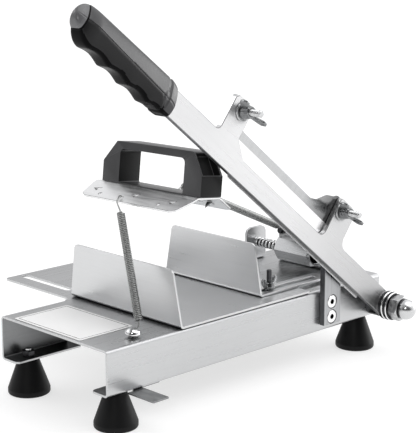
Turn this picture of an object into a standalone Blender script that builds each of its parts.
"""Hand-lever slicer for frozen meat.

A folded stainless channel on four rubber feet carries a tray, an adjustable
side guide, a sprung press plate with a moulded handle, and a long cutting arm
that swings about a bolt on the front wall.

Lengths are written in millimetres and scaled to metres when meshes are made.
Working axes: X along the base (pivot end at +X), Y from the front wall to the
rear, Z up, with the lower face of the base channel at Z = 0.
"""
import math

import bmesh
import bpy
from mathutils import Matrix, Vector, geometry

# ---------------------------------------------------------------- dimensions
MM = 0.001

# The finished part stands on Z = 0, centred on X and Y.
SHIFT_X = -156.66
SHIFT_Y = -96.00
SHIFT_Z = 31.6

GAP = 0.3                 # clearance between neighbouring pieces

# base channel
BASE_L = 346.0
BASE_D = 141.6
BASE_H = 39.9
SHEET = 2.0
LIP = 21.5
BEND_R = 3.5
WING_X0, WING_X1, WING_Y1 = 77.0, 197.0, 241.0
WING_RELIEF = 6.0
SLOT_W = 8.0
SLOT_Y0, SLOT_Y1 = 164.0, 237.0

# feet
FOOT_X = (19.1, 325.6)
FOOT_Y = (12.3, 129.3)
FOOT_H = 31.6
FOOT_R_BASE = 18.7
FOOT_R_TOP = 9.3

# tray
TRAY_X0 = 82.0
TRAY_X1 = 245.0
TRAY_Y0, TRAY_Y1 = 0.6, 146.0
TRAY_TOP = 91.0
TRAY_T = 2.0

# adjustable guide
GUIDE_X0, GUIDE_X1 = 195.0, 290.0
GUIDE_Y0, GUIDE_Y1 = 16.0, 36.0
GUIDE_STUD = (217.2, 26.0)
GUIDE_SLOT = (205.0, 281.0)
STUD_R = 2.4

# arm
PIVOT_X, PIVOT_Z = 337.7, 13.7
ARM_ANGLE = 38.58         # raised angle of the arm at rest
ARM_FACE = 16.0           # near face of the arm, in front of the wall
ARM_T = 5.0
BLADE_BACK = 8.8
BLADE_FRONT = 10.8
CLAMP_OUTER = (285.5, 37.3)
CLAMP_INNER = (118.5, 36.2)
GRIP_S0, GRIP_S1 = 358.8, 470.0
GRIP_TIP, GRIP_DOME = 479.0, 12.0
GRIP_HALF_DEPTH = 10.5
GRIP_RIDGE, GRIP_PITCH = 384.0, 24.3
GRIP_MID = 13.5

# press plate, slightly tilted as it rests
PRESS_ORIGIN = (101.0, -1.0, 150.6)
PRESS_ROLL = 7.0
PRESS_PITCH = 1.1
PRESS_FLAT = 25.3
PRESS_LEN = 130.5
PRESS_T = 1.8
PRESS_WING = (22.77, 11.46)

# springs
SPRING_R = 3.7
WIRE_R = 0.8

# spindle and sleeve
SLEEVE_X, SLEEVE_Z = 301.0, 59.0
SLEEVE_AF = 22.0
SPINDLE_R = 5.0
SLEEVE_Y0, SLEEVE_Y1 = 42.0, 88.0

# ---------------------------------------------------------------- scene reset
for _o in list(bpy.data.objects):
    bpy.data.objects.remove(_o, do_unlink=True)
for _m in list(bpy.data.meshes):
    bpy.data.meshes.remove(_m)


# ---------------------------------------------------------------- materials
def material(name, colour, roughness, metallic):
    m = bpy.data.materials.new(name)
    m.use_nodes = True
    bsdf = m.node_tree.nodes["Principled BSDF"]
    bsdf.inputs["Base Color"].default_value = (*colour, 1.0)
    bsdf.inputs["Roughness"].default_value = roughness
    bsdf.inputs["Metallic"].default_value = metallic
    m.diffuse_color = (*colour, 1.0)
    return m


M_SHEET = material("sheet_steel", (0.72, 0.72, 0.73), 0.34, 1.0)
M_BAR = material("brushed_bar", (0.68, 0.68, 0.69), 0.38, 1.0)
M_BLADE = material("blade_steel", (0.80, 0.80, 0.81), 0.16, 1.0)
M_CHROME = material("chrome", (0.86, 0.86, 0.87), 0.06, 1.0)
M_ZINC = material("fastener_steel", (0.62, 0.62, 0.63), 0.26, 1.0)
M_DARK = material("dark_steel", (0.16, 0.16, 0.17), 0.32, 1.0)
M_RUBBER = material("rubber", (0.018, 0.018, 0.019), 0.55, 0.0)
M_GRIP = material("grip_black", (0.02, 0.02, 0.022), 0.22, 0.0)
M_SATIN = material("press_handle_black", (0.045, 0.045, 0.048), 0.45, 0.0)
M_LABEL = material("label_white", (0.86, 0.86, 0.85), 0.5, 0.0)
M_SPRING = material("spring_steel", (0.42, 0.43, 0.42), 0.35, 1.0)


# ---------------------------------------------------------------- mesh helpers
def make(name, verts, faces, mat, parent=None, loc=(0.0, 0.0, 0.0), smooth=0.0):
    """A closed mesh object; verts are in mm relative to loc, also in mm."""
    me = bpy.data.meshes.new(name)
    me.from_pydata([(x * MM, y * MM, z * MM) for x, y, z in verts], [], faces)
    bm = bmesh.new()
    bm.from_mesh(me)
    bmesh.ops.recalc_face_normals(bm, faces=bm.faces)
    bm.to_mesh(me)
    bm.free()
    me.materials.append(mat)
    ob = bpy.data.objects.new(name, me)
    bpy.context.scene.collection.objects.link(ob)
    if parent is not None:
        ob.parent = parent
        ob.location = [v * MM for v in loc]
    else:
        ob.location = [(loc[0] + SHIFT_X) * MM, (loc[1] + SHIFT_Y) * MM,
                       (loc[2] + SHIFT_Z) * MM]
    if smooth:
        me.shade_smooth()
        me.set_sharp_from_angle(angle=math.radians(smooth))
    return ob


def empty(name, loc, matrix=None):
    e = bpy.data.objects.new(name, None)
    e.empty_display_size = 0.02
    bpy.context.scene.collection.objects.link(e)
    rot = matrix.to_4x4() if matrix is not None else Matrix.Identity(4)
    e.matrix_world = Matrix.Translation([(loc[0] + SHIFT_X) * MM,
                                         (loc[1] + SHIFT_Y) * MM,
                                         (loc[2] + SHIFT_Z) * MM]) @ rot
    return e


def combine(target, tool, op):
    """Boolean of two objects, applied, and the tool object is dropped."""
    bpy.context.view_layer.update()
    mod = target.modifiers.new("cut", 'BOOLEAN')
    mod.operation = op
    mod.solver = 'EXACT'
    mod.object = tool
    dg = bpy.context.evaluated_depsgraph_get()
    me = bpy.data.meshes.new_from_object(target.evaluated_get(dg))
    target.modifiers.clear()
    old = target.data
    target.data = me
    bpy.data.meshes.remove(old)
    bpy.data.objects.remove(tool, do_unlink=True)
    return target


def bevel(ob, width, segments=1, angle=40.0):
    mod = ob.modifiers.new("edges", 'BEVEL')
    mod.width = width * MM
    mod.segments = segments
    mod.limit_method = 'ANGLE'
    mod.angle_limit = math.radians(angle)
    bpy.context.view_layer.update()
    dg = bpy.context.evaluated_depsgraph_get()
    me = bpy.data.meshes.new_from_object(ob.evaluated_get(dg))
    ob.modifiers.clear()
    old = ob.data
    ob.data = me
    bpy.data.meshes.remove(old)
    return ob


def tidy(ob, dist=0.002):
    """Merge the near-duplicate points that a Boolean can leave."""
    bm = bmesh.new()
    bm.from_mesh(ob.data)
    bmesh.ops.remove_doubles(bm, verts=bm.verts, dist=dist * MM)
    bmesh.ops.dissolve_degenerate(bm, edges=bm.edges, dist=dist * MM)
    bm.to_mesh(ob.data)
    bm.free()
    return ob


def rounded(points, seg=5):
    """Polygon with fillets; points are (x, y, radius)."""
    out = []
    n = len(points)
    for i in range(n):
        p0 = Vector(points[i - 1][:2])
        p1 = Vector(points[i][:2])
        p2 = Vector(points[(i + 1) % n][:2])
        r = points[i][2] if len(points[i]) > 2 else 0.0
        if r <= 0.0:
            out.append((p1.x, p1.y))
            continue
        a = (p0 - p1)
        b = (p2 - p1)
        la, lb = a.length, b.length
        a.normalize()
        b.normalize()
        ang = a.angle(b)
        if ang > math.pi - 0.02:
            out.append((p1.x, p1.y))
            continue
        t = min(r / math.tan(ang / 2.0), la * 0.49, lb * 0.49)
        rr = t * math.tan(ang / 2.0)
        bis = (a + b).normalized()
        c = p1 + bis * (rr / math.sin(ang / 2.0))
        s = p1 + a * t - c
        e = p1 + b * t - c
        a0 = math.atan2(s.y, s.x)
        a1 = math.atan2(e.y, e.x)
        d = (a1 - a0 + math.pi) % (2 * math.pi) - math.pi
        for k in range(seg + 1):
            th = a0 + d * k / seg
            out.append((c.x + rr * math.cos(th), c.y + rr * math.sin(th)))
    return out


def circle(cx, cy, r, n=16, phase=0.0):
    return [(cx + r * math.cos(phase + 2 * math.pi * k / n),
             cy + r * math.sin(phase + 2 * math.pi * k / n)) for k in range(n)]


def slot(x0, x1, y, w, n=6, along='x'):
    """Round-ended slot outline between end points x0 and x1."""
    r = w / 2.0
    pts = []
    for k in range(n + 1):
        th = -math.pi / 2 + math.pi * k / n
        pts.append((x1 - r + r * math.cos(th), y + r * math.sin(th)))
    for k in range(n + 1):
        th = math.pi / 2 + math.pi * k / n
        pts.append((x0 + r + r * math.cos(th), y + r * math.sin(th)))
    if along == 'y':
        pts = [(b, a) for a, b in pts]
    return pts


# plane -> how (u, v, w) become (x, y, z)
PLANES = {
    'xy': lambda u, v, w: (u, v, w),
    'xz': lambda u, v, w: (u, w, v),
    'yz': lambda u, v, w: (w, u, v),
}


def prism(name, outer, holes, w0, w1, plane, mat, **kw):
    """Flat outline with holes, extruded from w0 to w1 across its plane."""
    loops = [outer] + list(holes)
    f = PLANES[plane]
    flat = [[Vector((u, v, 0.0)) for u, v in lp] for lp in loops]
    tris = geometry.tessellate_polygon(flat)
    pts = [p for lp in loops for p in lp]
    n = len(pts)
    verts = [f(u, v, w0) for u, v in pts] + [f(u, v, w1) for u, v in pts]
    faces = [tuple(t) for t in tris] + [tuple(i + n for i in t) for t in tris]
    base = 0
    for lp in loops:
        m = len(lp)
        for k in range(m):
            a, b = base + k, base + (k + 1) % m
            faces.append((a, b, b + n, a + n))
        base += m
    return make(name, verts, faces, mat, **kw)


AXES = {
    'x': lambda r, th, a: (a, r * math.cos(th), r * math.sin(th)),
    'y': lambda r, th, a: (r * math.cos(th), a, r * math.sin(th)),
    'z': lambda r, th, a: (r * math.cos(th), r * math.sin(th), a),
}


def lathe(name, profile, n, axis, mat, closed=False, phase=0.0, smooth=40.0, **kw):
    """Turned solid; profile is (radius, height) pairs along the axis."""
    f = AXES[axis]
    rings, verts = [], []
    for r, a in profile:
        if r < 1e-6:
            rings.append([len(verts)])
            verts.append(f(0.0, 0.0, a))
        else:
            rings.append(list(range(len(verts), len(verts) + n)))
            verts += [f(r, phase + 2 * math.pi * k / n, a) for k in range(n)]
    faces = []
    m = len(rings)
    for i in range(m if closed else m - 1):
        p, q = rings[i], rings[(i + 1) % m]
        for k in range(n):
            k2 = (k + 1) % n
            if len(p) == 1 and len(q) == 1:
                continue
            if len(p) == 1:
                faces.append((p[0], q[k], q[k2]))
            elif len(q) == 1:
                faces.append((p[k], p[k2], q[0]))
            else:
                faces.append((p[k], p[k2], q[k2], q[k]))
    return make(name, verts, faces, mat, smooth=smooth, **kw)


def hexagon(cx, cy, af, phase=0.0):
    return circle(cx, cy, af / math.sqrt(3.0), 6, phase)


def hex_nut(name, af, bore, h, axis, mat, chamfer=0.8, phase=0.0, n=24, **kw):
    """Hexagon with a round bore, both ends chamfered like a turned nut."""
    rc = af / math.sqrt(3.0)
    f = AXES[axis]
    verts, faces = [], []

    def hexr(th):
        t = (th - phase) % (math.pi / 3.0)
        return (af / 2.0) / math.cos(t - math.pi / 6.0)

    rows = []
    for kind, a in (("b", 0.0), ("f", 0.0), ("h", chamfer), ("h", h - chamfer),
                    ("f", h), ("b", h)):
        row = []
        for k in range(n):
            th = phase + 2 * math.pi * k / n
            if kind == "b":
                r = bore
            elif kind == "f":
                r = af / 2.0 * 0.97
            else:
                r = hexr(th)
            row.append(len(verts))
            verts.append(f(r, th, a))
        rows.append(row)
    for i in range(6):
        p, q = rows[i], rows[(i + 1) % 6]
        for k in range(n):
            k2 = (k + 1) % n
            faces.append((p[k], p[k2], q[k2], q[k]))
    return make(name, verts, faces, mat, smooth=25.0, **kw)


def tube(name, path, radii, n, mat, **kw):
    """Round bar along a path, with one radius for each point."""
    pts = [Vector(p) for p in path]
    dirs = []
    for i in range(len(pts)):
        a = pts[max(i - 1, 0)]
        b = pts[min(i + 1, len(pts) - 1)]
        dirs.append((b - a).normalized())
    up = Vector((0.0, 0.0, 1.0))
    if abs(dirs[0].dot(up)) > 0.9:
        up = Vector((1.0, 0.0, 0.0))
    u = dirs[0].cross(up).normalized()
    verts, faces = [], []
    for i, p in enumerate(pts):
        d = dirs[i]
        u = (u - d * u.dot(d)).normalized()
        w = d.cross(u)
        for k in range(n):
            th = 2 * math.pi * k / n
            q = p + (u * math.cos(th) + w * math.sin(th)) * radii[i]
            verts.append(tuple(q))
    for i in range(len(pts) - 1):
        for k in range(n):
            k2 = (k + 1) % n
            faces.append((i * n + k, i * n + k2, (i + 1) * n + k2, (i + 1) * n + k))
    faces.append(tuple(range(n)))
    faces.append(tuple(range((len(pts) - 1) * n, len(pts) * n)))
    return make(name, verts, faces, mat, smooth=50.0, **kw)


def pan_screw(name, head_r, head_h, shank_r, shank_l, axis, mat, sign=1.0, n=16, **kw):
    """Pan head with a hexagon socket, its seat at the object's origin.

    The head points along sign * axis and the shank the other way."""
    s = sign
    sock = head_r * 0.42
    prof = [(0.0, s * head_h * 0.5), (sock, s * head_h * 0.5),
            (sock, s * head_h), (head_r * 0.72, s * head_h),
            (head_r, s * head_h * 0.55), (head_r, 0.0), (shank_r, 0.0),
            (shank_r, -s * shank_l), (0.0, -s * shank_l)]
    return lathe(name, prof, n, axis, mat, **kw)


# ---------------------------------------------------------------- base channel
def build_base():
    ro, ri = BEND_R, BEND_R - SHEET
    prof = [(LIP, 0, 0), (0, 0, ro), (0, BASE_H, ro), (BASE_D, BASE_H, ro),
            (BASE_D, 0, ro), (BASE_D - LIP, 0, 0), (BASE_D - LIP, SHEET, 0),
            (BASE_D - SHEET, SHEET, ri), (BASE_D - SHEET, BASE_H - SHEET, ri),
            (SHEET, BASE_H - SHEET, ri), (SHEET, SHEET, ri), (LIP, SHEET, 0)]
    base = prism("base_channel", rounded(prof, 4), [], 0.0, BASE_L, 'yz', M_SHEET)
    # the rear flange is cut away where the sheet runs on as the rear wing
    r = WING_RELIEF
    cut = prism("cut_flange", [(BASE_D - 6.0, -2.0), (BASE_D + 2.0, -2.0),
                               (BASE_D + 2.0, BASE_H + 2.0), (BASE_D - 6.0, BASE_H + 2.0)],
                [], WING_X0 - r, WING_X1 + r, 'yz', M_SHEET)
    combine(base, cut, 'DIFFERENCE')
    cut = prism("cut_lip", [(BASE_D - LIP - 2.0, -2.0), (BASE_D, -2.0),
                            (BASE_D, 20.0), (BASE_D - LIP - 2.0, 20.0)],
                [], WING_X0 - r, WING_X1 + r, 'yz', M_SHEET)
    combine(base, cut, 'DIFFERENCE')
    y0 = BASE_D - 8.0
    outline = [(WING_X0 - r, y0)]
    outline.append((WING_X0 - r, BASE_D))
    for k in range(1, 6):
        th = -math.pi / 2 + (math.pi / 2) * k / 5
        outline.append((WING_X0 - r + r * math.cos(th), BASE_D + r + r * math.sin(th)))
    outline += rounded([(WING_X0, WING_Y1, 5.0), (WING_X1, WING_Y1, 5.0)] +
                       [(WING_X1, BASE_D + 40.0, 0.0), (WING_X0, BASE_D + 40.0, 0.0)], 5)[:-2]
    for k in range(0, 5):
        th = math.pi + (math.pi / 2) * k / 5
        outline.append((WING_X1 + r + r * math.cos(th), BASE_D + r + r * math.sin(th)))
    outline.append((WING_X1 + r, BASE_D))
    outline.append((WING_X1 + r, y0))
    slots = [slot(SLOT_Y0, SLOT_Y1, WING_X0 + 19.0, SLOT_W, along='y'),
             slot(SLOT_Y0, SLOT_Y1, WING_X1 - 19.0, SLOT_W, along='y')]
    wing = prism("rear_wing", outline, slots, BASE_H - SHEET, BASE_H, 'xy', M_SHEET)
    combine(base, wing, 'UNION')
    # holes through flanges, front wall and top
    holes = []
    for x in FOOT_X:
        for y in FOOT_Y:
            holes.append(('z', x, y, 3.5, -3.0, 6.0))
    for x in STOP_SCREWS_X:
        holes.append(('z', x, STOP_SCREW_Y, 2.4, -3.0, 6.0))
    holes.append(('z', GUIDE_STUD[0], GUIDE_STUD[1], STUD_R + 0.4, 34.0, 44.0))
    holes.append(('z', ANCHOR_X, ANCHOR_Y, 2.6, 34.0, 44.0))
    for x, y in BRACKET_SCREWS + SPINDLE_SCREWS:
        holes.append(('z', x, y, 2.2, 34.0, 44.0))
    for z in POST_SCREWS_Z:
        holes.append(('y', POST_SCREW_X, z, 3.3, -3.0, 5.0))
    holes.append(('y', PIVOT_X, PIVOT_Z, 5.4, -3.0, 5.0))
    for ax, a, b, r_, w0, w1 in holes:
        plane = 'xy' if ax == 'z' else 'xz'
        cut = prism("hole", circle(a, b, r_, 10), [], w0, w1, plane, M_SHEET)
        combine(base, cut, 'DIFFERENCE')
    # rounded corners of the bottom flanges at both open ends
    q = 5.0
    for x, sx in ((0.0, 1.0), (BASE_L, -1.0)):
        for y, sy in ((LIP, -1.0), (BASE_D - LIP, 1.0)):
            pts = [(x - sx * 1.0, y - sy * 1.0)]
            pts.append((x + sx * q, y - sy * 1.0))
            for k in range(0, 5):
                th = (math.pi / 2) * k / 4
                pts.append((x + sx * (q - q * math.sin(th)), y + sy * (q - q * math.cos(th))))
            pts.append((x - sx * 1.0, y + sy * q))
            cut = prism("corner", pts, [], -1.0, SHEET + 1.0, 'xy', M_SHEET)
            combine(base, cut, 'DIFFERENCE')
    return tidy(base)


POST_SCREW_X = 268.8
STOP_SCREWS_X, STOP_SCREW_Y = (36.8, 54.0), 12.3
ANCHOR_X, ANCHOR_Y = 41.5, 15.5
POST_SCREWS_Z = (28.7, 14.2)
BRACKET_SCREWS = [(328.0, 58.0), (328.0, 94.0)]
SPINDLE_SCREWS = [(294.0, 133.5), (308.0, 133.5)]

base = build_base()


# ---------------------------------------------------------------- feet
def build_feet():
    top = -GAP
    prof = [(3.4, top), (FOOT_R_TOP, top), (FOOT_R_BASE - 0.7, -24.4), (FOOT_R_BASE, -26.2),
            (FOOT_R_BASE, -FOOT_H + 2.2), (FOOT_R_BASE - 1.5, -FOOT_H),
            (6.1, -FOOT_H), (6.1, -17.0), (3.4, -17.0)]
    shared = None
    for nx, x in zip("lr", FOOT_X):
        for ny, y in zip("fb", FOOT_Y):
            tag = ny + nx
            f = lathe("foot_" + tag, prof, 20, 'z', M_RUBBER, closed=True, loc=(x, y, 0.0))
            if shared is None:
                shared = f.data
            else:
                old = f.data
                f.data = shared
                bpy.data.meshes.remove(old)
            # screw from below, its head inside the foot
            lathe("foot_screw_" + tag,
                  [(0.0, -21.2), (4.6, -21.2), (5.6, -20.2), (5.6, -17.3), (3.0, -17.3),
                   (3.0, 9.0), (0.0, 9.0)], 10, 'z', M_ZINC, loc=(x, y, 0.0))
            hex_nut("foot_nut_" + tag, 10.0, 3.3, 5.0, 'z', M_ZINC, n=12,
                    loc=(x, y, SHEET + GAP))


build_feet()

# ---------------------------------------------------------------- label
prism("label", rounded([(2.5, 37.0, 2.0), (61.0, 37.0, 2.0), (61.0, 126.0, 2.0),
                        (2.5, 126.0, 2.0)], 3), [], BASE_H + 0.12, BASE_H + 0.42, 'xy', M_LABEL)

# ---------------------------------------------------------------- guide post
POST_X0, POST_X1 = 258.0, 280.6
POST_Z0, POST_Z1 = 7.0, 78.0
post = prism("guide_post", [(POST_X0, POST_Z0), (POST_X1, POST_Z0), (POST_X1, POST_Z1),
                            (POST_X0, POST_Z1)], [], -6.3, -GAP, 'xz', M_BAR)
bevel(post, 0.5)
for z in POST_SCREWS_Z:
    cut = lathe("sink", [(0.0, -7.5), (8.1, -7.5), (3.3, -2.7), (3.3, 1.0), (0.0, 1.0)],
                20, 'y', M_BAR, loc=(POST_SCREW_X, 0.0, z))
    combine(post, cut, 'DIFFERENCE')
tidy(post)
for tag, z in zip(("upper", "lower"), POST_SCREWS_Z):
    sc = lathe("post_screw_" + tag,
               [(0.0, -6.35), (4.2, -6.55), (6.3, -6.35), (6.35, -6.1), (3.0, -2.75),
                (3.0, 8.0), (2.4, 8.6), (0.0, 8.6)], 20, 'y', M_CHROME,
               loc=(POST_SCREW_X, 0.0, z))
    cut = prism("socket", hexagon(0.0, 0.0, 4.6), [], -8.0, -3.4, 'xz', M_CHROME,
                loc=(POST_SCREW_X, 0.0, z))
    combine(sc, cut, 'DIFFERENCE')
    tidy(sc)

# ---------------------------------------------------------------- stop plate
stop = prism("stop_plate",
             rounded([(22.5, -30.0, 1.0), (40.0, -30.0, 1.0), (40.0, 4.5, 1.5), (62.0, 4.5, 2.0),
                      (62.0, 18.0, 2.0), (31.0, 18.0, 2.0), (31.0, 1.2, 0.6), (22.5, 1.2, 0.8)], 3),
             [circle(x, STOP_SCREW_Y, 2.3, 12) for x in STOP_SCREWS_X], -1.8, -GAP, 'xy', M_BAR)
for tag, x in zip("ab", STOP_SCREWS_X):
    pan_screw("stop_screw_" + tag, 4.0, 1.6, 2.0, 8.0, 'z', M_ZINC, sign=-1.0, n=12,
              loc=(x, STOP_SCREW_Y, -2.1))

# ---------------------------------------------------------------- tray
tx = TRAY_X0
tz = BASE_H + GAP
lean = 2.0
tray_prof = rounded([(TRAY_X1, tz, 0), (tx, tz, 3.5), (tx - lean, TRAY_TOP, 0),
                     (tx - lean + TRAY_T, TRAY_TOP, 0), (tx + TRAY_T, tz + TRAY_T, 1.5),
                     (TRAY_X1, tz + TRAY_T, 0)], 4)
tray = prism("tray", tray_prof, [], TRAY_Y0, TRAY_Y1, 'xz', M_SHEET)


def wall_cutters(y0, y1, z0, ztop, slope, x0, x1, r):
    """The two wedges that give a side wall its sloping ends."""
    for a, s in ((y0, 1.0), (y1, -1.0)):
        inner = rounded([(a, z0, 0.0), (a + s * slope, ztop, r),
                         (a + s * (slope + 30.0), ztop, 0.0)], 5)[:-1]
        pts = [(a - s * 3.0, z0)] + inner
        pts += [(a + s * (slope + 12.0), ztop), (a + s * (slope + 12.0), ztop + 4.0),
                (a - s * 3.0, ztop + 4.0)]
        yield prism("wedge", pts, [], x0, x1, 'yz', M_SHEET)


for cutter in wall_cutters(TRAY_Y0, TRAY_Y1, tz + 4.0, TRAY_TOP, 8.4, tx - 8.0, tx + 8.0, 5.0):
    combine(tray, cutter, 'DIFFERENCE')
cut = prism("hole", circle(GUIDE_STUD[0], GUIDE_STUD[1], STUD_R + 0.4, 14), [], tz - 2.0, tz + 5.0,
            'xy', M_SHEET)
combine(tray, cut, 'DIFFERENCE')
tidy(tray)

# ---------------------------------------------------------------- side guide
gz = tz + TRAY_T + GAP
guide_axis = empty("guide_slide_axis", (GUIDE_STUD[0], GUIDE_STUD[1], gz))
gx, gy = GUIDE_STUD


def g(x, y, z):
    return (x - gx, y - gy, z - gz)


# the bent sheet: a foot that runs off to the right, a wall on its left edge
wall_prof = rounded([(GUIDE_X0 + 14.0, gz, 0), (GUIDE_X0, gz, 3.5), (GUIDE_X0, TRAY_TOP, 0),
                     (GUIDE_X0 + TRAY_T, TRAY_TOP, 0), (GUIDE_X0 + TRAY_T, gz + TRAY_T, 1.5),
                     (GUIDE_X0 + 14.0, gz + TRAY_T, 0)], 4)
guide = prism("side_guide", [(x - gx, z - gz) for x, z in wall_prof], [],
              GUIDE_Y0 - gy, TRAY_Y1 - 5.0 - gy, 'xz', M_SHEET, parent=guide_axis)
for cutter in wall_cutters(GUIDE_Y0 - gy, TRAY_Y1 - 5.0 - gy, 4.0, TRAY_TOP - gz, 8.4,
                           GUIDE_X0 - gx - 8.0, GUIDE_X0 - gx + 9.0, 5.0):
    cutter.parent = guide_axis
    cutter.location = (0.0, 0.0, 0.0)
    combine(guide, cutter, 'DIFFERENCE')
foot_outline = [(x - gx, y - gy) for x, y in rounded(
    [(GUIDE_X0 + 8.0, GUIDE_Y0, 0), (GUIDE_X1, GUIDE_Y0, 3.0), (GUIDE_X1, GUIDE_Y1, 3.0),
     (GUIDE_X0 + 14.0, GUIDE_Y1, 0), (GUIDE_X0 + 8.0, GUIDE_Y1, 0)], 4)]
foot_slot = [(x - gx, y - gy) for x, y in slot(GUIDE_SLOT[0], GUIDE_SLOT[1], gy, 6.8)]
foot = prism("guide_foot", foot_outline, [foot_slot], 0.0, TRAY_T, 'xy', M_SHEET,
             parent=guide_axis)
combine(guide, foot, 'UNION')
cut = prism("guide_slot", foot_slot, [], -2.0, TRAY_T + 2.0, 'xy', M_SHEET, parent=guide_axis)
combine(guide, cut, 'DIFFERENCE')
tidy(guide)

lathe("guide_stud", [(0.0, BASE_H - SHEET - 4.6), (5.4, BASE_H - SHEET - 4.6),
                     (5.4, BASE_H - SHEET - GAP), (STUD_R, BASE_H - SHEET - GAP), (STUD_R, 62.2),
                     (STUD_R - 0.6, 62.8), (0.0, 62.8)], 12, 'z', M_DARK, loc=(gx, gy, 0.0))


# ---------------------------------------------------------------- wing nuts
def wing_nut(name, axis, sign, hub_h, hub_r, top_r, bore, wing_r, wing_h, thick, turn, **kw):
    """Hub with two flared wings; its seat is at the origin, opening along sign * axis."""
    s = sign
    hub = lathe(name, [(bore, 0.0), (hub_r - 0.4, 0.0), (hub_r, s * 0.6), (hub_r, s * 2.2),
                       (top_r, s * hub_h), (bore, s * hub_h)], 20, axis, kw.pop('mat'),
                closed=True, **kw)
    mat = hub.data.materials[0]
    half = rounded([(bore + 1.1, 2.4, 0), (hub_r + 2.4, 2.4, 2.0), (wing_r, wing_h * 0.52, 3.0),
                    (wing_r + 0.6, wing_h, 2.6), (wing_r - 5.2, wing_h, 2.6),
                    (top_r + 2.0, hub_h * 0.9, 2.0), (bore + 1.1, hub_h * 0.86, 0)], 4)
    for side in (1.0, -1.0):
        f = PLANES['xz'] if axis == 'y' else (lambda u, v, w: (u, w, v))
        verts, n = [], len(half)
        for w in (-thick / 2.0, thick / 2.0):
            for u, v in half:
                u2 = side * u
                cu, cw = math.cos(turn), math.sin(turn)
                p, q = u2 * cu - w * cw, u2 * cw + w * cu
                if axis == 'y':
                    verts.append((p, s * v, q))
                else:
                    verts.append((p, q, s * v))
        faces = [tuple(range(n)), tuple(range(n, 2 * n))]
        for k in range(n):
            k2 = (k + 1) % n
            faces.append((k, k2, k2 + n, k + n))
        wing = make("wing", verts, faces, mat, parent=kw.get('parent'),
                    loc=kw.get('loc', (0.0, 0.0, 0.0)))
        combine(hub, wing, 'UNION')
    tidy(hub)
    hub.data.shade_smooth()
    hub.data.set_sharp_from_angle(angle=math.radians(35.0))
    return hub


wing_nut("guide_wing_nut", 'z', 1.0, 6.5, 5.2, 4.2, STUD_R + 0.35, 11.5, 11.0, 2.4, math.radians(10.0),
         mat=M_ZINC, loc=(gx, gy, gz + TRAY_T + GAP))

# ---------------------------------------------------------------- pivot stack
pw = -ARM_FACE
lathe("pivot_bolt", [(0.0, 9.0), (8.6, 9.0), (9.4, 8.2), (9.4, 3.4), (8.8, SHEET + GAP),
                     (5.0, SHEET + GAP), (5.0, -40.0), (4.4, -41.0), (0.0, -41.0)],
      20, 'y', M_ZINC, loc=(PIVOT_X, 0.0, PIVOT_Z))
lathe("pivot_bush", [(5.3, -GAP), (12.3, -GAP), (12.3, pw + ARM_T + GAP),
                     (5.3, pw + ARM_T + GAP)], 24, 'y', M_DARK,
      closed=True, loc=(PIVOT_X, 0.0, PIVOT_Z))
for tag, a, b, r in (("inner", pw - GAP, pw - 4.8, 13.9), ("outer", pw - 5.1, pw - 9.6, 13.9)):
    lathe("pivot_disc_" + tag, [(5.3, a), (r - 0.7, a), (r, a - 0.7), (r, b + 0.7),
                                (r - 0.7, b), (5.3, b)], 24, 'y', M_DARK, closed=True,
          loc=(PIVOT_X, 0.0, PIVOT_Z))
hex_nut("pivot_nut", 21.5, 5.3, 10.0, 'y', M_ZINC, chamfer=1.3, phase=math.radians(12.0),
        loc=(PIVOT_X, pw - 9.9 - 10.0, PIVOT_Z))
dome_c = pw - 33.0 + 9.75


def dome_nut():
    """Domed cap with a blind bore that takes the end of the bolt."""
    prof = [(0.0, pw - 26.2), (5.3, pw - 26.2), (5.3, pw - 20.2), (7.4, pw - 20.2),
            (7.8, pw - 20.7)]
    for k in range(0, 7):
        th = math.radians(77.0) + math.radians(103.0) * k / 6.0
        prof.append((9.75 * math.sin(th), dome_c + 9.75 * math.cos(th)))
    prof[-1] = (0.0, pw - 33.0)
    return lathe("dome_nut", prof, 20, 'y', M_CHROME, loc=(PIVOT_X, 0.0, PIVOT_Z))


dome_nut()

# ---------------------------------------------------------------- cutting arm
th = math.radians(ARM_ANGLE)
ARM_MATRIX = Matrix(((-math.cos(th), 0.0, math.sin(th)),
                     (0.0, -1.0, 0.0),
                     (math.sin(th), 0.0, math.cos(th))))
arm_axis = empty("arm_pivot_axis", (PIVOT_X, 0.0, PIVOT_Z), ARM_MATRIX)

ARM_LOW, ARM_HIGH = -11.8, 10.5
arm_outline = rounded([
    (-12.6, ARM_LOW, 11.0), (GRIP_S0 - GAP, ARM_LOW, 1.5), (GRIP_S0 - GAP, -8.0, 0.0),
    (438.0, -7.0, 3.0), (438.0, 5.5, 3.0), (GRIP_S0 - GAP, 6.5, 0.0),
    (GRIP_S0 - GAP, ARM_HIGH, 1.5), (299.0, ARM_HIGH, 5.0), (299.0, 43.3, 1.0),
    (296.0, 46.5, 1.5), (275.0, 46.5, 3.5), (274.4, 16.4, 3.0), (258.5, 5.4, 4.0),
    (125.8, 5.4, 7.0), (125.8, 46.8, 3.0), (104.0, 46.8, 5.0), (99.0, 38.0, 8.0),
    (99.0, ARM_HIGH, 9.0), (-12.6, ARM_HIGH, 11.0)], 6)
arm = prism("blade_arm", arm_outline,
            [circle(0.0, 0.0, 5.3, 20), circle(CLAMP_OUTER[0], CLAMP_OUTER[1], 3.4, 14),
             circle(CLAMP_INNER[0], CLAMP_INNER[1], 3.4, 14)],
            ARM_FACE - ARM_T, ARM_FACE, 'xz', M_BAR, parent=arm_axis)

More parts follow.
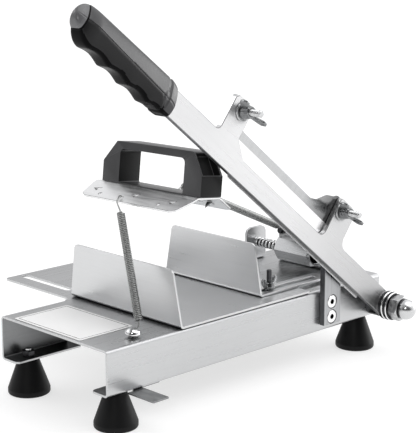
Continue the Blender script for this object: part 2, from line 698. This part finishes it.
blade_outline = rounded([
    (259.0, -12.3, 1.0), (36.0, -13.8, 1.5), (45.0, 4.0, 6.0), (101.0, 8.0, 6.0),
    (101.0, 47.6, 4.0), (126.5, 47.6, 2.0), (129.5, 45.0, 3.0), (139.0, 41.0, 8.0),
    (149.0, 30.5, 8.0), (158.0, 27.0, 6.0), (271.0, 27.0, 5.0), (277.0, 47.8, 3.0),
    (297.2, 47.8, 3.0), (297.2, 22.0, 4.0)], 5)
blade = prism("blade", blade_outline,
              [circle(CLAMP_OUTER[0], CLAMP_OUTER[1], 3.4, 14),
               circle(CLAMP_INNER[0], CLAMP_INNER[1], 3.4, 14)],
              BLADE_BACK, BLADE_FRONT, 'xz', M_BLADE, parent=arm_axis)
cut = prism("grind", [(BLADE_FRONT, 19.0), (BLADE_FRONT + 1.0, 19.0),
                      (BLADE_FRONT + 1.0, -20.0), (BLADE_BACK + 0.12, -20.0)],
            [], 20.0, 296.6, 'yz', M_BLADE, parent=arm_axis)
combine(blade, cut, 'DIFFERENCE')
tidy(blade, 0.004)


# ---------------------------------------------------------------- grip
def grip_section(s):
    """Lower edge, upper edge and half depth of the moulded grip at s."""
    x = s - GRIP_S0
    top = 14.7 - 1.2 * (s - 370.0) / 90.0
    low, half = -15.3, GRIP_HALF_DEPTH
    if s > GRIP_RIDGE - GRIP_PITCH / 3.0:
        # finger grooves: round hollows between narrow ridges
        wave = abs(math.sin(math.pi * (s - GRIP_RIDGE) / GRIP_PITCH)) ** 1.2
        low = -15.1 - 2.3 * (1.0 - wave)
    if s > GRIP_RIDGE + 3.0 * GRIP_PITCH:
        e = (s - GRIP_RIDGE - 3.0 * GRIP_PITCH) / (GRIP_S1 - GRIP_RIDGE - 3.0 * GRIP_PITCH)
        low = -17.4 + 7.0 * e * e
        top -= 1.0 * e * e
        half -= 2.5 * e * e
    if x < 9.0:
        q = math.sin(math.pi / 2 * x / 9.0)
        low = -14.4 - 0.9 * q
        top = 11.6 + (top - 11.6) * q
        half -= 1.3 * (1.0 - q)
    if 9.0 < x < 12.0:
        half -= 0.5
        top -= 0.5
    return low, top, half


def grip_crease(s, top):
    """Height of the line between the flat side and the sloping top."""
    return top - 17.9 + 5.0 * min(max((s - GRIP_S0 - 14.0) / (GRIP_S1 - GRIP_S0 - 14.0), 0.0), 1.0)


def dome(s):
    """How much the section has shrunk where the end runs out in a dome."""
    x = min(max((s - GRIP_TIP + GRIP_DOME) / GRIP_DOME, 0.0), 1.0)
    return max((1.0 - x ** 1.9) ** (1.0 / 1.9), 0.02)


def grip_ring(s, scale=1.0):
    """Section of the grip: rounded over the top, flat sides, rounded below."""
    low, top, half = grip_section(min(s, GRIP_S1))
    crease = grip_crease(min(s, GRIP_S1), top)
    ring = []
    for k in range(9):
        a = math.pi * k / 8
        ring.append((half * math.cos(a), crease + (top - crease) * math.sin(a) ** 0.85))
    ring += [(-half * 0.98, low + 5.5), (-half * 0.82, low + 1.6), (-half * 0.42, low),
             (half * 0.42, low), (half * 0.82, low + 1.6), (half * 0.98, low + 5.5)]
    mid = (low + top) / 2.0
    return [(s, GRIP_MID + y * scale, mid + (t - mid) * scale) for y, t in ring]


def loft(name, rings, mat, **kw):
    """Closed skin over a row of rings with the same number of points."""
    n = len(rings[0])
    verts = [p for ring in rings for p in ring]
    faces = []
    for i in range(len(rings) - 1):
        for k in range(n):
            k2 = (k + 1) % n
            faces.append((i * n + k, i * n + k2, (i + 1) * n + k2, (i + 1) * n + k))
    faces.append(tuple(range(n)))
    faces.append(tuple(range((len(rings) - 1) * n, len(rings) * n)))
    return make(name, verts, faces, mat, **kw)


def build_grip():
    stations = [GRIP_S0, GRIP_S0 + 1.0, GRIP_S0 + 4.0, GRIP_S0 + 9.0, GRIP_S0 + 9.6,
                GRIP_S0 + 11.4, GRIP_S0 + 12.0]
    step = GRIP_PITCH / 6.0
    stations += [GRIP_RIDGE + step * k for k in range(-2, 19)]
    stations += [461.0, 465.0, 467.5, GRIP_S1]
    rings = [grip_ring(s, 0.94 if i == 0 else dome(s)) for i, s in enumerate(stations)]
    grip = loft("grip", rings, M_GRIP, parent=arm_axis, smooth=35.0)
    tang = prism("tang", [(GRIP_S0 - 3.0, -8.0 - GAP), (438.6, -7.0 - GAP),
                          (438.6, 5.5 + GAP), (GRIP_S0 - 3.0, 6.5 + GAP)], [],
                 ARM_FACE - ARM_T - GAP, ARM_FACE + GAP, 'xz', M_GRIP, parent=arm_axis)
    combine(grip, tang, 'DIFFERENCE')
    tidy(grip)
    grip.data.shade_smooth()
    grip.data.set_sharp_from_angle(angle=math.radians(35.0))
    return grip


def build_grip_cap():
    rings = []
    for x in (GAP, 2.0, 4.0, 5.8, 7.3, 8.3, 8.85):
        ring = grip_ring(GRIP_S1, dome(GRIP_S1 + x))
        rings.append([(GRIP_S1 + x, y, t) for _, y, t in ring])
    return loft("grip_cap", rings, M_GRIP, parent=arm_axis, smooth=50.0)


build_grip()
build_grip_cap()

# ---------------------------------------------------------------- blade clamps
wing_dir = math.radians(0.0)
for tag, (s_, t_) in (("outer", CLAMP_OUTER), ("inner", CLAMP_INNER)):
    lathe("clamp_bolt_" + tag,
          [(0.0, BLADE_BACK - 1.6), (5.6, BLADE_BACK - 1.6), (6.2, BLADE_BACK - GAP),
           (3.0, BLADE_BACK - GAP), (3.0, ARM_FACE + 21.4), (2.3, ARM_FACE + 22.2),
           (0.0, ARM_FACE + 22.2)], 14, 'y', M_ZINC, parent=arm_axis, loc=(s_, 0.0, t_))
    lathe("clamp_washer_" + tag,
          [(3.4, ARM_FACE + GAP), (8.0, ARM_FACE + GAP), (8.4, ARM_FACE + 0.7),
           (8.4, ARM_FACE + 1.5), (8.0, ARM_FACE + 1.8), (3.4, ARM_FACE + 1.8)], 20, 'y',
          M_ZINC, closed=True, parent=arm_axis, loc=(s_, 0.0, t_))
    ax_ = empty("wing_axis_" + tag, (0.0, 0.0, 0.0))
    ax_.parent = arm_axis
    ax_.matrix_parent_inverse = Matrix.Identity(4)
    ax_.matrix_basis = Matrix.Translation((s_ * MM, (ARM_FACE + 2.1) * MM, t_ * MM))
    wing_nut("wing_nut_" + tag, 'y', 1.0, 9.0, 6.4, 4.9, 3.35, 17.2, 14.5, 3.0,
             math.radians(184.0), mat=M_ZINC, parent=ax_, loc=(0.0, 0.0, 0.0))

# ---------------------------------------------------------------- press plate
ro_, pi_ = math.radians(PRESS_ROLL), math.radians(PRESS_PITCH)
PRESS_MATRIX = Matrix.Rotation(ro_, 3, 'Y') @ Matrix.Rotation(-pi_, 3, 'X')
press_axis = empty("press_slide_axis", PRESS_ORIGIN, PRESS_MATRIX)
wx, wz = PRESS_WING
pt = PRESS_T
wl = math.hypot(wx, wz)
nx_, nz_ = wz / wl, wx / wl            # outward normal of the left wing is (-nx_, nz_)
slope_a = math.atan2(wz, wx)
inn = pt * math.tan(slope_a / 2.0)
press_prof = rounded([
    (-wx, -wz, 0), (0.0, 0.0, 2.6), (PRESS_FLAT, 0.0, 2.6), (PRESS_FLAT + wx, -wz, 0),
    (PRESS_FLAT + wx - nx_ * pt, -wz - nz_ * pt, 0), (PRESS_FLAT - inn, -pt, 1.0),
    (inn, -pt, 1.0), (-wx + nx_ * pt, -wz - nz_ * pt, 0)], 3)
press = prism("press_plate", press_prof, [], 0.0, PRESS_LEN, 'xz', M_SHEET, parent=press_axis)


def on_wing(side, d, y):
    """Point on the upper face of a wing, d below its fold and y from the front."""
    x = -wx * d / wl if side < 0 else PRESS_FLAT + wx * d / wl
    return Vector((x, y, -wz * d / wl))


def wing_frame(side):
    """Down-slope direction and outward normal of a wing."""
    if side < 0:
        return Vector((-wx, 0.0, -wz)) / wl, Vector((-nx_, 0.0, nz_))
    return Vector((wx, 0.0, -wz)) / wl, Vector((nx_, 0.0, nz_))


def wing_prism(name, side, pts, h0, h1):
    """Outline in (distance below fold, y), extruded along the wing's normal."""
    d_, n_ = wing_frame(side)
    o = on_wing(side, 0.0, 0.0)
    verts = []
    for h in (h0, h1):
        for d, y in pts:
            p = o + d_ * d + Vector((0.0, y, 0.0)) + n_ * h
            verts.append(tuple(p))
    n = len(pts)
    faces = [tuple(range(n)), tuple(range(n, 2 * n))]
    for k in range(n):
        k2 = (k + 1) % n
        faces.append((k, k2, k2 + n, k + n))
    return make(name, verts, faces, M_SHEET, parent=press_axis)


TOOTH_Y = (20.5, 66.0, 116.0)
HOLE_Y = (29.5, 75.6, 104.5)
for side in (-1, 1):
    # clipped and rounded ends of each wing
    for y, s in ((0.0, 1.0), (PRESS_LEN, -1.0)):
        corner = [(4.0, y - s * 2.0), (4.0, y + s * 0.0)]
        corner += rounded([(4.0, y, 0), (wl - 3.0, y + s * 5.0, 4.0),
                           (wl + 0.01, y + s * 11.0, 0.0)], 4)[1:]
        corner += [(wl + 2.0, y + s * 11.0), (wl + 2.0, y - s * 2.0)]
        combine(press, wing_prism("corner", side, corner, -4.0, 3.0), 'DIFFERENCE')
    for y in TOOTH_Y:
        tri = [(10.2, y - 4.4), (15.6, y - 1.6), (12.6, y + 3.8)]
        combine(press, wing_prism("punch", side, tri, -4.0, 3.0), 'DIFFERENCE')
        # tooth folded down from one edge of the punched opening
        a, b = (10.2, y - 4.4), (12.6, y + 3.8)
        ca, cb = Vector((a[0] - 0.1, a[1])), Vector((b[0] - 0.1, b[1]))
        d_, n_ = wing_frame(side)
        o = on_wing(side, 0.0, 0.0)

        def at(v, h):
            return o + d_ * v.x + Vector((0.0, v.y, 0.0)) + n_ * h

        mid = (ca + cb) / 2.0
        edge = (cb - ca).normalized()
        nrm = Vector((-edge.y, edge.x))
        if nrm.x > 0:
            nrm = -nrm
        verts = []
        for off in (0.0, 0.9):
            q = nrm * off
            verts += [tuple(at(ca + q, -0.9)), tuple(at(cb + q, -0.9)),
                      tuple(at(cb + q, -1.9)), tuple(at(mid + q, -7.6)),
                      tuple(at(ca + q, -1.9))]
        faces = [tuple(range(5)), tuple(range(5, 10))]
        faces += [(k, (k + 1) % 5, (k + 1) % 5 + 5, k + 5) for k in range(5)]
        tooth = make("tooth", verts, faces, M_SHEET, parent=press_axis)
        combine(press, tooth, 'UNION')
    for y in HOLE_Y:
        combine(press, wing_prism("hole", side, circle(19.5, y, 1.7, 10), -4.0, 3.0),
                'DIFFERENCE')
HANDLE_SCREW_Y = (11.0, 112.5)
for y in HANDLE_SCREW_Y:
    cut = prism("hole", circle(PRESS_FLAT / 2.0, y, 2.3, 12), [], -4.0, 2.0, 'xy', M_SHEET,
                parent=press_axis)
    combine(press, cut, 'DIFFERENCE')
tidy(press, 0.004)

# ---------------------------------------------------------------- press handle
HX0, HX1 = 0.4, 24.9
H0 = GAP
handle_outline = rounded([
    (-2.0, H0, 0.8), (-2.0, 18.0, 1.0), (9.8, 37.8, 2.0), (106.2, 37.5, 2.0),
    (123.2, 18.8, 1.0), (123.2, H0, 0.8)], 3)
window = rounded([(19.6, H0 + 0.8, 1.5), (101.5, H0 + 0.8, 1.5), (101.5, 31.2, 4.5),
                  (19.6, 31.2, 4.5)], 4)
handle = prism("press_handle", handle_outline, [window], HX0, HX1, 'yz', M_SATIN,
               parent=press_axis)
bevel(handle, 0.7, 2, 50.0)


def pocket(p_low, p_high, depth, inset_low, inset_high):
    """Recess sunk square into one of the handle's sloping ends."""
    a, b = Vector(p_low), Vector(p_high)
    e = (b - a).normalized()
    nrm = Vector((-e.y, e.x))
    mid_y = 60.0
    if nrm.x * (mid_y - a.x) < 0:
        nrm = -nrm
    p0 = a + e * inset_low
    p1 = b - e * inset_high
    out = [p0 - nrm * 3.0, p1 - nrm * 3.0, p1 + nrm * depth, p0 + nrm * depth]
    return prism("pocket", [(p.x, p.y) for p in out], [], HX0 + 2.6, HX1 - 2.6, 'yz', M_SATIN,
                 parent=press_axis)


combine(handle, pocket((-2.0, 18.0), (9.8, 37.8), 7.5, 1.6, 2.0), 'DIFFERENCE')
combine(handle, pocket((123.2, 18.8), (106.2, 37.5), 7.5, 1.6, 2.4), 'DIFFERENCE')
for y in HANDLE_SCREW_Y:
    cut = prism("bore", circle(PRESS_FLAT / 2.0, y, 2.3, 12), [], -2.0, 10.5, 'xy', M_SATIN,
                parent=press_axis)
    combine(handle, cut, 'DIFFERENCE')
tidy(handle)
for tag, y in zip(("front", "back"), HANDLE_SCREW_Y):
    pan_screw("handle_screw_" + tag, 4.0, 2.2, 2.0, 11.0, 'z', M_ZINC, sign=-1.0, n=12,
              parent=press_axis, loc=(PRESS_FLAT / 2.0, y, -PRESS_T - GAP))

# ---------------------------------------------------------------- spring anchors
ss = lathe("spring_screw", [(0.0, 5.0), (2.6, 4.9), (4.8, 4.2), (6.2, 2.8), (6.8, 1.0), (6.8, 0.0),
                            (2.3, 0.0), (2.3, -12.0), (0.0, -12.0)], 20, 'z', M_CHROME,
           loc=(ANCHOR_X, ANCHOR_Y, BASE_H + 2.5))
ca_, sa_ = math.cos(math.radians(32.0)), math.sin(math.radians(32.0))
cut = prism("drive", [(u * ca_ - v * sa_, u * sa_ + v * ca_)
                      for u, v in ((-9.0, -0.9), (9.0, -0.9), (9.0, 0.9), (-9.0, 0.9))],
            [], 2.9, 7.0, 'xy', M_CHROME, loc=(ANCHOR_X, ANCHOR_Y, BASE_H + 2.5))
combine(ss, cut, 'DIFFERENCE')
tidy(ss)

SB_X = 316.0
SB_Y0, SB_Y1 = 46.0, 105.0
SB_TOP = 76.0
bz = BASE_H + GAP
sb_prof = rounded([(SB_X, bz, 3.0), (SB_X, SB_TOP, 0), (SB_X + 2.0, SB_TOP, 0),
                   (SB_X + 2.0, bz + 2.0, 1.0), (SB_X + 20.0, bz + 2.0, 0),
                   (SB_X + 20.0, bz, 0)], 3)
bracket = prism("spring_bracket", sb_prof, [], SB_Y0, SB_Y1, 'xz', M_SHEET)
for y, s in ((SB_Y0, 1.0), (SB_Y1, -1.0)):
    cut = prism("corner", [(y - s * 2.0, SB_TOP + 2.0), (y - s * 2.0, SB_TOP - 8.0),
                           (y, SB_TOP - 8.0), (y + s * 1.8, SB_TOP - 3.2),
                           (y + s * 4.8, SB_TOP - 0.6), (y + s * 8.0, SB_TOP + 0.0),
                           (y + s * 8.0, SB_TOP + 2.0)], [], SB_X - 2.0, SB_X + 4.0, 'yz', M_SHEET)
    combine(bracket, cut, 'DIFFERENCE')
for x, y in BRACKET_SCREWS:
    cut = prism("hole", circle(x, y, 2.2, 12), [], bz - 1.0, bz + 4.0, 'xy', M_SHEET)
    combine(bracket, cut, 'DIFFERENCE')
HOOK_Y, HOOK_Z = 99.7, 71.7
cut = prism("hole", circle(HOOK_Y, HOOK_Z, 2.3, 12), [], SB_X - 2.0, SB_X + 4.0, 'yz', M_SHEET)
combine(bracket, cut, 'DIFFERENCE')
tidy(bracket)
for tag, (x, y) in zip("ab", BRACKET_SCREWS):
    pan_screw("bracket_screw_" + tag, 3.8, 2.3, 1.9, 9.0, 'z', M_ZINC, sign=1.0, n=12,
              loc=(x, y, bz + 2.0 + GAP))
lathe("spring_hook_screw", [(0.0, 321.5), (4.4, 321.5), (4.4, 318.3), (2.0, 318.3),
                            (2.0, 313.2), (3.2, 313.2), (3.2, 311.2), (2.6, 310.6),
                            (0.0, 310.6)], 14, 'x', M_DARK, loc=(0.0, HOOK_Y, HOOK_Z))

# ---------------------------------------------------------------- spindle and sleeve
sleeve_axis = empty("sleeve_axis", (SLEEVE_X, SLEEVE_Y0, SLEEVE_Z))
SP_Y = 122.0
sb2 = prism("spindle_bracket",
            rounded([(SP_Y, bz, 3.0), (SP_Y, 74.0, 0), (SP_Y + 2.5, 74.0, 0),
                     (SP_Y + 2.5, bz + 2.5, 0.8), (SP_Y + 18.0, bz + 2.5, 0),
                     (SP_Y + 18.0, bz, 0)], 3), [], 287.0, 315.0, 'yz', M_SHEET)
cut = prism("hole", circle(SLEEVE_X, SLEEVE_Z, 4.4, 16), [], SP_Y - 2.0, SP_Y + 5.0, 'xz', M_SHEET)
combine(sb2, cut, 'DIFFERENCE')
for x, y in SPINDLE_SCREWS:
    cut = prism("hole", circle(x, y, 2.2, 12), [], bz - 1.0, bz + 4.0, 'xy', M_SHEET)
    combine(sb2, cut, 'DIFFERENCE')
for x, s in ((287.0, 1.0), (315.0, -1.0)):
    cut = prism("corner", [(x - s * 2.0, 76.0), (x - s * 2.0, 68.0), (x, 68.0),
                           (x + s * 1.8, 72.2), (x + s * 6.0, 74.0), (x + s * 6.0, 76.0)],
                [], SP_Y - 2.0, SP_Y + 4.0, 'xz', M_SHEET)
    combine(sb2, cut, 'DIFFERENCE')
tidy(sb2)
for tag, (x, y) in zip("ab", SPINDLE_SCREWS):
    pan_screw("spindle_bracket_screw_" + tag, 3.8, 2.3, 1.9, 9.0, 'z', M_ZINC, sign=1.0, n=12,
              loc=(x, y, bz + 2.5 + GAP))

prof = [(0.0, 72.0), (SPINDLE_R, 72.0)]
y = 89.0
while y < SP_Y - 5.5:
    prof += [(SPINDLE_R, y), (SPINDLE_R - 1.1, y + 1.6), (SPINDLE_R, y + 3.2)]
    y += 4.6
prof += [(SPINDLE_R, SP_Y - GAP), (4.0, SP_Y - GAP), (4.0, SP_Y + 10.0), (0.0, SP_Y + 10.0)]
lathe("spindle", prof, 12, 'y', M_DARK, smooth=30.0, loc=(SLEEVE_X, 0.0, SLEEVE_Z))
hex_nut("spindle_nut", 13.0, 4.3, 5.0, 'y', M_ZINC, n=12,
        loc=(SLEEVE_X, SP_Y + 2.5 + GAP, SLEEVE_Z))


def hex_sleeve():
    """Long hexagon with a stepped through bore and chamfered ends."""
    n = 24
    ln = SLEEVE_Y1 - SLEEVE_Y0
    rows = [(5.4, 17.0), (5.4, ln), (9.0, ln), (None, ln - 2.5), (None, 1.6),
            (10.4, 0.0), (8.6, 0.0), (8.6, 17.0)]
    verts, faces, ids = [], [], []
    phase = math.radians(0.0)
    for r, a in rows:
        row = []
        for k in range(n):
            t = phase + 2 * math.pi * k / n
            rr = r
            if r is None:
                q = (t - phase) % (math.pi / 3.0)
                rr = (SLEEVE_AF / 2.0) / math.cos(q - math.pi / 6.0)
            row.append(len(verts))
            verts.append((rr * math.cos(t), a, rr * math.sin(t)))
        ids.append(row)
    for i in range(len(rows)):
        p, q = ids[i], ids[(i + 1) % len(rows)]
        for k in range(n):
            k2 = (k + 1) % n
            faces.append((p[k], p[k2], q[k2], q[k]))
    return make("hex_sleeve", verts, faces, M_CHROME, parent=sleeve_axis, smooth=25.0)


hex_sleeve()


# ---------------------------------------------------------------- springs
def press_world(p):
    """Press-plate point in working coordinates."""
    v = PRESS_MATRIX @ Vector(p)
    return Vector(PRESS_ORIGIN) + v


def loop(centre, u, v, r, a0, a1, n):
    """Part of a wire ring about centre, in the plane of u and v."""
    c = Vector(centre)
    return [tuple(c + (u * math.cos(math.radians(a0 + (a1 - a0) * k / n)) +
                       v * math.sin(math.radians(a0 + (a1 - a0) * k / n))) * r)
            for k in range(n + 1)]


def spring(name, hook, foot, head, tail):
    """Extension spring: wire loop, close-wound body, wire that hooks the plate."""
    a, b = Vector(foot), Vector(head)
    d = (b - a).normalized()
    path = list(hook) + [tuple(q) for q in (
        a - d * 0.6, a, a + d * 3.0, b - d * 3.0, b, b + d * 0.6)]
    path += [tuple(q) for q in tail]
    w, r = WIRE_R, SPRING_R
    radii = [w] * len(hook) + [w, r - 0.5, r, r, r - 0.5, w] + [w] * len(tail)
    return tube(name, path, radii, 10, M_SPRING)


def hook_frame(side):
    """Middle hole of a wing: its centre, down-slope direction and outward normal."""
    d_, n_ = wing_frame(side)
    return press_world(on_wing(side, 19.5, HOLE_Y[1])), PRESS_MATRIX @ d_, PRESS_MATRIX @ n_


# left: the lower loop lies round the neck of the anchor screw
P, D, N = hook_frame(-1)
LEFT_HEAD = Vector((71.0, 63.0, 133.0))
ANCHOR = Vector((ANCHOR_X, ANCHOR_Y, BASE_H + 1.25))
left_foot = Vector((53.2, 21.3, 50.0))
aim = Vector((left_foot.x - ANCHOR.x, left_foot.y - ANCHOR.y, 0.0)).normalized()
side_v = Vector((-aim.y, aim.x, 0.0))
spring("left_spring",
       loop(ANCHOR, aim, side_v, 3.6, 310.0, 20.0, 8) +
       [tuple(ANCHOR + aim * 8.4 + Vector((0.0, 0.0, 0.3))),
        tuple(ANCHOR + aim * 11.6 + Vector((0.0, 0.0, 3.4)))],
       left_foot, LEFT_HEAD,
       [P + D * 9.5 + N * 1.2 + Vector((0.0, -4.5, 0.0)),
        P + D * 6.0 + N * 2.4 + Vector((0.0, -2.5, 0.0)), P + D * 2.0 + N * 2.4, P + N * 1.3])

# right: the lower loop hangs round the neck of the hook screw
P, D, N = hook_frame(1)
NECK = Vector((314.6, HOOK_Y, HOOK_Z))
right_foot = Vector((307.0, 98.8, 77.8))
RIGHT_HEAD = Vector((159.2, 79.0, 141.2))
right_tip = P + N * 1.5
spring("right_spring",
       loop(NECK, Vector((0.0, 0.0, 1.0)), Vector((0.0, 1.0, 0.0)), 3.3, 300.0, 20.0, 8) +
       [tuple(NECK + Vector((-2.6, -0.4, 5.6)))],
       right_foot, RIGHT_HEAD,
       [tuple(right_tip + (RIGHT_HEAD - right_tip) * 0.45 + N * 0.8), right_tip])
